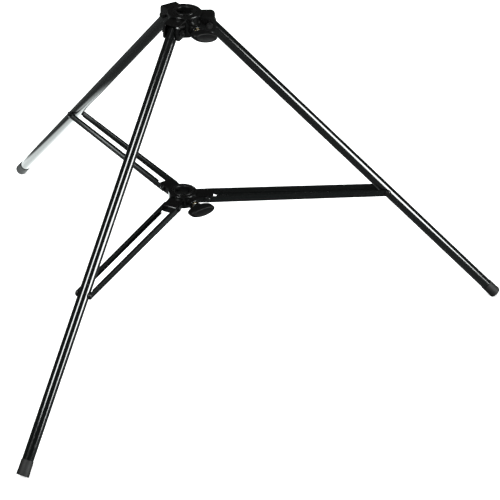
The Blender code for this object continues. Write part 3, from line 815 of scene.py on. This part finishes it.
@dataclass(kw_only=True)
class Clamp(SubAssembly):
    """A winged clamp screw with its brass insert and pressure pad, its line along X.

    Args:
        name: Which clamp, upper or lower.
        casting: The body that the insert rides on.
        turn: How far the wing stands turned about the screw.
    """

    name: str
    casting: str
    turn: float
    insert_inner: float = 5.3 * MM
    insert_radius: float = 7.5 * MM
    insert_start: float = 36.0 * MM
    insert_end: float = 50.0 * MM
    pad_radius: float = 6.2 * MM
    pad_start: float = 18.15 * MM
    pad_end: float = 23.15 * MM
    screw_radius: float = 5.0 * MM
    screw_start: float = 23.45 * MM
    screw_pitch: float = 1.5 * MM
    screw_depth: float = 14.0 * MM
    screw_air: float = 0.3 * MM
    knob_back: float = 65.0 * MM
    knob_front: float = 87.0 * MM
    half_length: float = 32.5 * MM
    half_width: float = 12.0 * MM
    wing_rounding: float = 7.0 * MM
    face_rim: float = 2.2 * MM
    face_step: float = 0.6 * MM
    neck_radius: float = 11.0 * MM
    neck_length: float = 5.0 * MM
    neck_root: float = 6.0 * MM

    def build(self) -> None:
        """Model the four pieces."""
        insert = sleeve(self.insert_inner, self.insert_radius, self.insert_start, self.insert_end, 0.4 * MM)
        pad = rod(self.pad_radius, self.pad_start, self.pad_end, 0.7 * MM)
        for shape, kind, body, finish in (
                (insert, "insert", self.casting, "brass"), (pad, "pad", f"{self.name}_pad", "nylon"),
                (self.screw(), "screw", f"{self.name}_knob", "zinc"),
                (self.knob(), "knob", f"{self.name}_knob", "knob")):
            self.keep(shape.laid(Axis.X.value), f"{self.name}_clamp_{kind}", body, finish)

    def screw(self) -> Shape:
        """Return the clamp screw, along Z: a core with a ridge of thread."""
        core = rod(self.screw_radius - 0.55 * self.screw_pitch, self.screw_start,
                   self.knob_back + self.screw_depth, 0.5 * MM, COARSE)
        ridge = Shape.thread(self.screw_radius, self.screw_pitch, self.screw_start + self.screw_pitch,
                             self.knob_back - self.screw_pitch)
        return core.with_shell(ridge)

    def knob(self) -> Shape:
        """Return the oval wing, along Z, with its dished face and its neck."""
        thick = self.knob_front - self.knob_back
        wing = Shape.turned([(0.0, 0.0), (self.half_length, 0.0, self.wing_rounding),
                             (self.half_length, thick, self.wing_rounding), (0.0, thick)], FINE, 8)
        bmesh.ops.recalc_face_normals(wing.bm, faces=wing.bm.faces)
        face = [item for item in wing.bm.faces
                if item.normal.z > 0.999 and item.calc_center_median().z > 0.9 * thick]
        for width, depth in ((self.face_rim, 0.0), (self.face_step, -self.face_step)):
            bmesh.ops.inset_region(wing.bm, faces=face, thickness=width, depth=depth, use_even_offset=True)
        wing.scaled((self.half_width / self.half_length, 1.0, 1.0))
        wing.moved((0.0, 0.0, self.knob_back)).rotated(self.turn, Axis.Z)
        low, high = self.knob_back - self.neck_length, self.knob_back + self.neck_root
        neck = Shape.turned([(0.0, low), (self.neck_radius, low, 1.0 * MM), (self.neck_radius, high),
                             (0.0, high)], MEDIUM)
        hole = rod(self.screw_radius + self.screw_air, self.knob_back - 2.0 * self.neck_length,
                   self.knob_back + self.screw_depth + self.screw_air, steps=COARSE)
        return wing.worked([neck], [hole], 0.4 * MM)


# ---- legs ----
@dataclass(kw_only=True)
class LegBolt(SubAssembly):
    """The hexagon bolt through a leg and its arm, and its nut, along Y.

    Args:
        leg: Which leg it carries.
    """

    leg: str
    seat: float = 18.9 * MM
    radius: float = 4.0 * MM
    nut_hole: float = 4.25 * MM
    flats: float = 13.0 * MM
    head: float = 5.3 * MM
    nut: float = 6.5 * MM
    end: float = 8.0 * MM
    chamfer: float = 0.9 * MM

    def cap(self, height: float) -> Shape:
        """Return a hexagon on the seat whose far corners are turned off to a cone."""
        high = self.seat + height
        corner = self.flats / math.sqrt(3.0)
        inner, outer = corner - self.chamfer, corner + 2.0 * MM
        cone = Shape.turned([(inner, high), (inner, high + MM), (outer, high + MM),
                             (outer, high - self.chamfer)])
        return Shape.hexagon(self.flats, self.seat, high).worked(cuts=[cone], edge=0.25 * MM)

    def build(self) -> None:
        """Model the bolt and the nut."""
        shank = rod(self.radius, -self.seat - MM, self.seat + self.end, 0.6 * MM, COARSE).laid(Axis.Y.value)
        bolt = shank.worked([self.cap(self.head).laid((0.0, -1.0, 0.0))])
        self.keep(bolt, f"leg_bolt_{self.leg}", "hub", "bolt")
        hole = rod(self.nut_hole, self.seat - MM, self.seat + self.nut + MM, steps=COARSE)
        nut = self.cap(self.nut).worked(cuts=[hole])
        self.keep(nut.laid(Axis.Y.value), f"leg_nut_{self.leg}", "hub", "bolt")


@dataclass(kw_only=True)
class Leg(SubAssembly):
    """A tube leg with its top plug, rubber foot and strut pin; hub pivot at the origin, tube down -Z.

    Args:
        leg: Which leg.
        floor: Distance from the hub pivot straight down to the floor.
    """

    leg: str
    floor: float
    length: float = 1007.7 * MM
    strut_station: float = 604.8 * MM
    tube_radius: float = 12.7 * MM
    tube_wall: float = 1.5 * MM
    tube_top: float = 10.0 * MM
    plug_depth: float = 6.0 * MM
    plug_head: float = 2.4 * MM
    foot_radius: float = 14.1 * MM
    foot_length: float = 34.0 * MM
    foot_sole: float = 7.0 * MM
    foot_band: float = 10.0 * MM
    foot_band_end: float = 11.2 * MM
    foot_step: float = 0.4 * MM
    pin_radius: float = 4.0 * MM
    pin_hole: float = 4.35 * MM
    pin_half_length: float = 12.7 * MM
    gap: float = 0.3 * MM

    def build(self) -> None:
        """Model the four pieces."""
        pin = rod(self.pin_radius, -self.pin_half_length, self.pin_half_length, 0.3 * MM, COARSE)
        for shape, kind, finish in ((self.tube(), "leg_tube", "tube"), (self.plug(), "leg_plug", "plug"),
                                    (self.foot(), "leg_foot", "rubber"),
                                    (self.across(pin, self.strut_station), "strut_pin", "bolt")):
            self.keep(shape, f"{kind}_{self.leg}", f"leg_{self.leg}", finish)

    @staticmethod
    def across(shape: Shape, station: float) -> Shape:
        """Lay a shape drawn about +Z across the leg at a station."""
        return shape.laid(Axis.Y.value).moved((0.0, 0.0, -station))

    def tube(self) -> Shape:
        """Return the drawn tube, drilled for its two pivots."""
        tube = sleeve(self.tube_radius - self.tube_wall, self.tube_radius, self.foot_sole - self.length,
                      self.tube_top, 0.4 * MM, FINE)
        return tube.worked(cuts=[self.across(rod(self.pin_hole, -THROUGH, THROUGH, steps=COARSE), station)
                                 for station in (0.0, self.strut_station)])

    def plug(self) -> Shape:
        """Return the moulded cap in the tube's top."""
        inside = self.tube_radius - self.tube_wall - self.gap
        low, seat, top = (self.tube_top + rise for rise in (-self.plug_depth, self.gap, self.plug_head))
        return Shape.turned([(0.0, low), (inside, low, 0.6 * MM), (inside, seat),
                             (self.tube_radius, seat, 0.2 * MM), (self.tube_radius, top, 1.2 * MM),
                             (0.0, top)])

    def foot(self) -> Shape:
        """Return the rubber cup with its band and lip, cut flat where it stands."""
        tip = -self.length
        top, bottom = tip + self.foot_length, tip + self.foot_sole - self.gap
        wall, pocket = self.foot_radius - self.foot_step, self.tube_radius + self.gap
        foot = Shape.turned([(0.0, tip), (self.foot_radius, tip, 1.0 * MM),
                             (self.foot_radius, tip + self.foot_band, 0.4 * MM),
                             (wall, tip + self.foot_band_end, 0.4 * MM), (wall, top, 0.4 * MM),
                             (pocket, top, 0.15 * MM), (pocket, bottom), (0.0, bottom)])
        up = (self.place.to_3x3().inverted() @ Axis.Z.vector).normalized()
        bm = foot.bm
        cut = bmesh.ops.bisect_plane(bm, geom=bm.verts[:] + bm.edges[:] + bm.faces[:], dist=MERGE,
                                     plane_co=-self.floor * up, plane_no=up, clear_inner=True)
        rim = [item for item in cut["geom_cut"] if isinstance(item, bmesh.types.BMEdge)]
        bmesh.ops.contextual_create(bm, geom=rim)
        return foot


@dataclass(kw_only=True)
class StrutPair(SubAssembly):
    """Two pressed channels from the collar to a leg, with their rivets and washers, along X.

    Args:
        leg: The leg that they brace.
        length: Distance between the two pivots.
    """

    leg: str
    length: float
    height: float = 16.0 * MM
    web: float = 1.8 * MM
    leg_outside: float = 16.8 * MM
    collar_outside: float = 19.3 * MM
    lip_tip: float = 13.0 * MM
    flat_outer: float = 8.0 * MM
    flat_inner: float = 18.0 * MM
    lip_runout: float = 6.0 * MM
    rivet_radius: float = 4.0 * MM
    head_radius: float = 6.4 * MM
    head_height: float = 2.6 * MM
    washer_radius: float = 7.5 * MM
    gap: float = 0.3 * MM

    def build(self) -> None:
        """Model the bars, rivets and washers."""
        body = f"struts_{self.leg}"
        seat = self.collar_outside + self.gap
        self.keep(self.rivet(0.0, (-seat - MM, seat + MM), seat, tuple(SIDES.values())),
                  f"collar_rivet_{self.leg}", body, "bolt")
        seat = self.leg_outside + self.gap
        for label, side in SIDES.items():
            self.keep(self.bar(side), f"strut_{self.leg}_{label}", body, "strut")
            ends = sorted((side * self.lip_tip, side * (seat + MM)))
            rivet = self.rivet(self.length, ends, seat, (side,))
            self.keep(rivet, f"strut_rivet_{self.leg}_{label}", body, "bolt")
            washer = sleeve(self.rivet_radius + self.gap, self.washer_radius, self.lip_tip,
                            self.leg_outside - self.web - self.gap, 0.2 * MM)
            washer.laid((0.0, side, 0.0)).moved((self.length, 0.0, 0.0))
            self.keep(washer, f"strut_washer_{self.leg}_{label}", body, "nylon")

    def rivet(self, station: float, ends: Sequence[float], seat: float, sides: Sequence[float]) -> Shape:
        """Return a rivet along Y with a domed head on each of its sides."""
        top = seat + self.head_height
        outline = [(0.0, seat), (self.head_radius, seat, 0.15 * MM),
                   (self.head_radius, seat + 0.45 * self.head_height, 0.5 * MM),
                   (0.62 * self.head_radius, top, 1.6 * MM), (0.22 * self.head_radius, top, 0.2 * MM),
                   (0.0, top - 0.25 * MM)]
        heads = [Shape.turned(outline, COARSE).laid((0.0, side, 0.0)) for side in sides]
        shank = rod(self.rivet_radius, *ends, steps=COARSE).laid(Axis.Y.value)
        return shank.worked(heads).moved((station, 0.0, 0.0))

    def bar(self, side: float) -> Shape:
        """Return one channel: a web with round ends and two lips that run out at both ends."""
        yaw = math.atan2(self.collar_outside - self.leg_outside, self.length)
        half = 0.5 * self.height
        web = Shape.block((-half, -self.web, -half), (self.length + half, 0.0, half))
        web.round_edges(lambda edge: abs(edge.verts[0].co.y - edge.verts[1].co.y) > 0.5 * self.web,
                        0.99 * half, 16)
        web.round_rims(0.5 * MM)
        offset, root, edge = self.lip_tip - self.collar_outside, -0.7 * self.web, half - 0.05 * MM
        start, end = self.flat_inner, self.length - self.flat_outer
        plan = [(start, root), (end, root), (end - self.lip_runout, offset + end * math.tan(yaw)),
                (start + self.lip_runout, offset + start * math.tan(yaw))]
        lips = [Shape.extruded([(x, y, low) for x, y in plan], (0.0, 0.0, high - low))
                for low, high in ((half - self.web, edge), (-edge, self.web - half))]
        holes = [rod(self.rivet_radius + self.gap, -THROUGH, THROUGH, steps=COARSE).laid(Axis.Y.value)
                 .moved((x, 0.0, 0.0)) for x in (0.0, self.length)]
        bar = web.worked(lips, holes, 0.3 * MM)
        return bar.rotated(-yaw, Axis.Z).moved((0.0, self.collar_outside, 0.0)).scaled((1.0, side, 1.0))


# ---- the studio ----
def bearing(round_degrees: float, up_degrees: float) -> Vector:
    """Return the direction at degrees round from the front towards +X, and degrees up."""
    round_angle, up_angle = math.radians(round_degrees), math.radians(up_degrees)
    return Vector((math.sin(round_angle) * math.cos(up_angle), -math.cos(round_angle) * math.cos(up_angle),
                   math.sin(up_angle)))


@dataclass(frozen=True)
class SoftBox:
    """A rectangular light that looks at the stand.

    Args:
        name: The light's name.
        bearing: Degrees round from the front towards +X, and degrees up.
        distance: Distance from the stand's middle.
        size: Width and height.
        power: Power in watts.
        mirrored: Whether glossy surfaces mirror it.
    """

    name: str
    bearing: tuple[float, float]
    distance: float
    size: tuple[float, float]
    power: float
    mirrored: bool = True

    def hang(self, middle: Vector) -> None:
        """Hang the light about the stand's middle."""
        light = bpy.data.lights.new(self.name, "AREA")
        light.shape = "RECTANGLE"
        light.size, light.size_y = self.size
        light.energy = self.power
        light.color = (0.97, 1.0, 0.995)
        item = linked(self.name, light)
        direction = bearing(*self.bearing)
        item.location = middle + self.distance * direction
        item.rotation_euler = (-direction).to_track_quat("-Z", "Y").to_euler()
        item.visible_glossy = self.mirrored
        item.visible_camera = False


SOFT_BOXES = (
    SoftBox("wash", (0.0, 90.0), 5.0, (6.0, 6.0), 260.0, mirrored=False),
    SoftBox("right_box", (60.0, 9.0), 8.0, (3.9, 3.6), 930.0),
    SoftBox("left_box", (-46.0, 48.0), 8.0, (2.6, 3.9), 640.0),
)


@dataclass
class Studio:
    """A pale floor, soft boxes and the camera.

    Args:
        pole_foot: Point on the floor under the pole.
    """

    pole_foot: Vector
    middle_height: float = 0.4
    floor_size: float = 40.0
    floor_dim: float = 0.16
    floor_bright: float = 3.4
    lens: float = 155.219
    camera_distance: float = 4.913251
    camera_bearing: tuple[float, float] = (-6.139, 31.594)
    camera_roll: float = 1.67
    aim_height: float = 0.35
    aim_right: float = 0.157982
    aim_up: float = -0.165286

    def build(self) -> None:
        """Make the floor, the surroundings, the lights and the camera."""
        bpy.context.scene.view_settings.view_transform = "Standard"
        self.floor()
        self.surroundings()
        for box in SOFT_BOXES:
            box.hang(self.pole_foot + Vector((0.0, 0.0, self.middle_height)))
        self.camera()

    def floor(self) -> None:
        """Lay the pale floor."""
        grid = Shape()
        bmesh.ops.create_grid(grid.bm, x_segments=1, y_segments=1, size=0.5 * self.floor_size)
        item = linked("studio_floor", grid.mesh("studio_floor"))
        item.data.materials.append(self.pale())

    def pale(self) -> bpy.types.Material:
        """Return the floor's material: near white, and dim in reflections but for its rear left."""
        material, tree, shader = new_material("pale_floor", {
            "Base Color": (0.84, 0.84, 0.84, 1.0), "Roughness": 0.9, "Specular IOR Level": 0.1,
            "Emission Color": (1.0, 1.0, 1.0, 1.0)})
        path = add_node(tree, "LightPath")
        place = add_node(tree, "TexCoord")
        bright_spot = self.pole_foot + Vector((-0.31, 0.56, 0.0))
        away = add_node(tree, "VectorMath", {1: bright_spot}, operation="DISTANCE")
        level = add_node(tree, "MapRange", {"From Min": 0.14, "From Max": 0.27, "To Min": self.floor_bright,
                                            "To Max": self.floor_dim}, interpolation_type="SMOOTHSTEP")
        lift = add_node(tree, "MapRange", {"From Min": 0.8, "From Max": 5.0, "To Min": 0.6, "To Max": 1.0})
        shown = add_node(tree, "Math", operation="MULTIPLY")
        mirrored = add_node(tree, "Emission", {"Color": (0.93, 1.0, 0.99, 1.0)})
        mix = add_node(tree, "MixShader")
        link(tree, (place, "Object", away, 0), (away, "Value", level, "Value"),
             (away, "Value", lift, "Value"), (lift, "Result", shown, 0), (path, "Is Camera Ray", shown, 1),
             (shown, "Value", shader, "Emission Strength"), (level, "Result", mirrored, "Strength"),
             (path, "Is Glossy Ray", mix, "Fac"), (shader, "BSDF", mix, 1), (mirrored, "Emission", mix, 2),
             (mix, "Shader", tree.nodes["Material Output"], "Surface"))
        return material

    @staticmethod
    def surroundings() -> None:
        """Set a pale room that stays dim in reflections."""
        world = bpy.data.worlds.new("studio_room")
        bpy.context.scene.world = world
        world.use_nodes = True
        tree = world.node_tree
        background = tree.nodes["Background"]
        background.inputs["Color"].default_value = (1.0, 1.0, 1.0, 1.0)
        path = add_node(tree, "LightPath")
        level = add_node(tree, "MapRange", {"To Min": 0.02, "To Max": 1.0})
        link(tree, (path, "Is Camera Ray", level, "Value"), (level, "Result", background, "Strength"))

    def camera(self) -> None:
        """Place the camera and make it the scene's."""
        back = bearing(*self.camera_bearing)
        right = (-back).cross(Axis.Z.vector).normalized()
        up = back.cross(right)
        aim = self.pole_foot + Vector((0.0, 0.0, self.aim_height)) + self.aim_right * right + self.aim_up * up
        data = bpy.data.cameras.new("studio_camera")
        data.lens = self.lens
        data.sensor_width = 36.0
        data.clip_start = 0.1
        data.clip_end = 100.0
        item = linked("studio_camera", data)
        turn = Matrix((right, up, back)).transposed().to_4x4()
        roll = Matrix.Rotation(math.radians(self.camera_roll), 4, "Z")
        item.matrix_world = Matrix.Translation(aim + self.camera_distance * back) @ turn @ roll
        bpy.context.scene.camera = item


def sub_assemblies(places: StandFrame) -> list[SubAssembly]:
    """List every sub-assembly of the stand.

    Args:
        places: The pivots and axes of the frame.

    Returns:
        The sub-assemblies, each in its place and not yet built.
    """
    directions = [places.outward(leg) for leg in LEGS]
    hub_height = places.pivot("leg_right_fold").z
    parts: list[SubAssembly] = []
    for level, body, kind, joint in (("upper", "hub", UpperHub, "leg_right_fold"),
                                     ("lower", "collar", LowerCollar, "struts_right_fold")):
        clamp = f"{level}_clamp_turn"
        parts.append(kind(label=body, place=places.casting_place(joint), level=level, body=body,
                          directions=directions, clamp_direction=-places.axis(clamp),
                          clamp_height=places.pivot(clamp).z - places.pivot(joint).z))
    for name, body, turn in (("upper", "hub", math.radians(-16.0)), ("lower", "collar", 0.0)):
        parts.append(Clamp(label=f"{name} clamp", place=places.clamp_place(name), name=name, casting=body,
                           turn=turn))
    for leg in LEGS:
        parts += [LegBolt(label=f"{leg} leg bolt", place=places.arm_place(leg), leg=leg),
                  Leg(label=f"{leg} leg", place=places.leg_place(leg), leg=leg, floor=hub_height),
                  StrutPair(label=f"{leg} struts", place=places.strut_place(leg), leg=leg,
                            length=places.strut_length(leg))]
    return parts


def main() -> None:
    """Build the stand and its studio."""
    logging.basicConfig(level=logging.INFO, format="%(name)s: %(message)s")
    effects = Effects()
    materials = {name: finish.material(effects) for name, finish in FINISHES.items()}
    places = StandFrame(frame["record"])
    for part in sub_assemblies(places):
        part.build()
        part.dress(materials)
        part.report()
    Studio(places.pole_foot()).build()


if __name__ == "__main__":
    main()
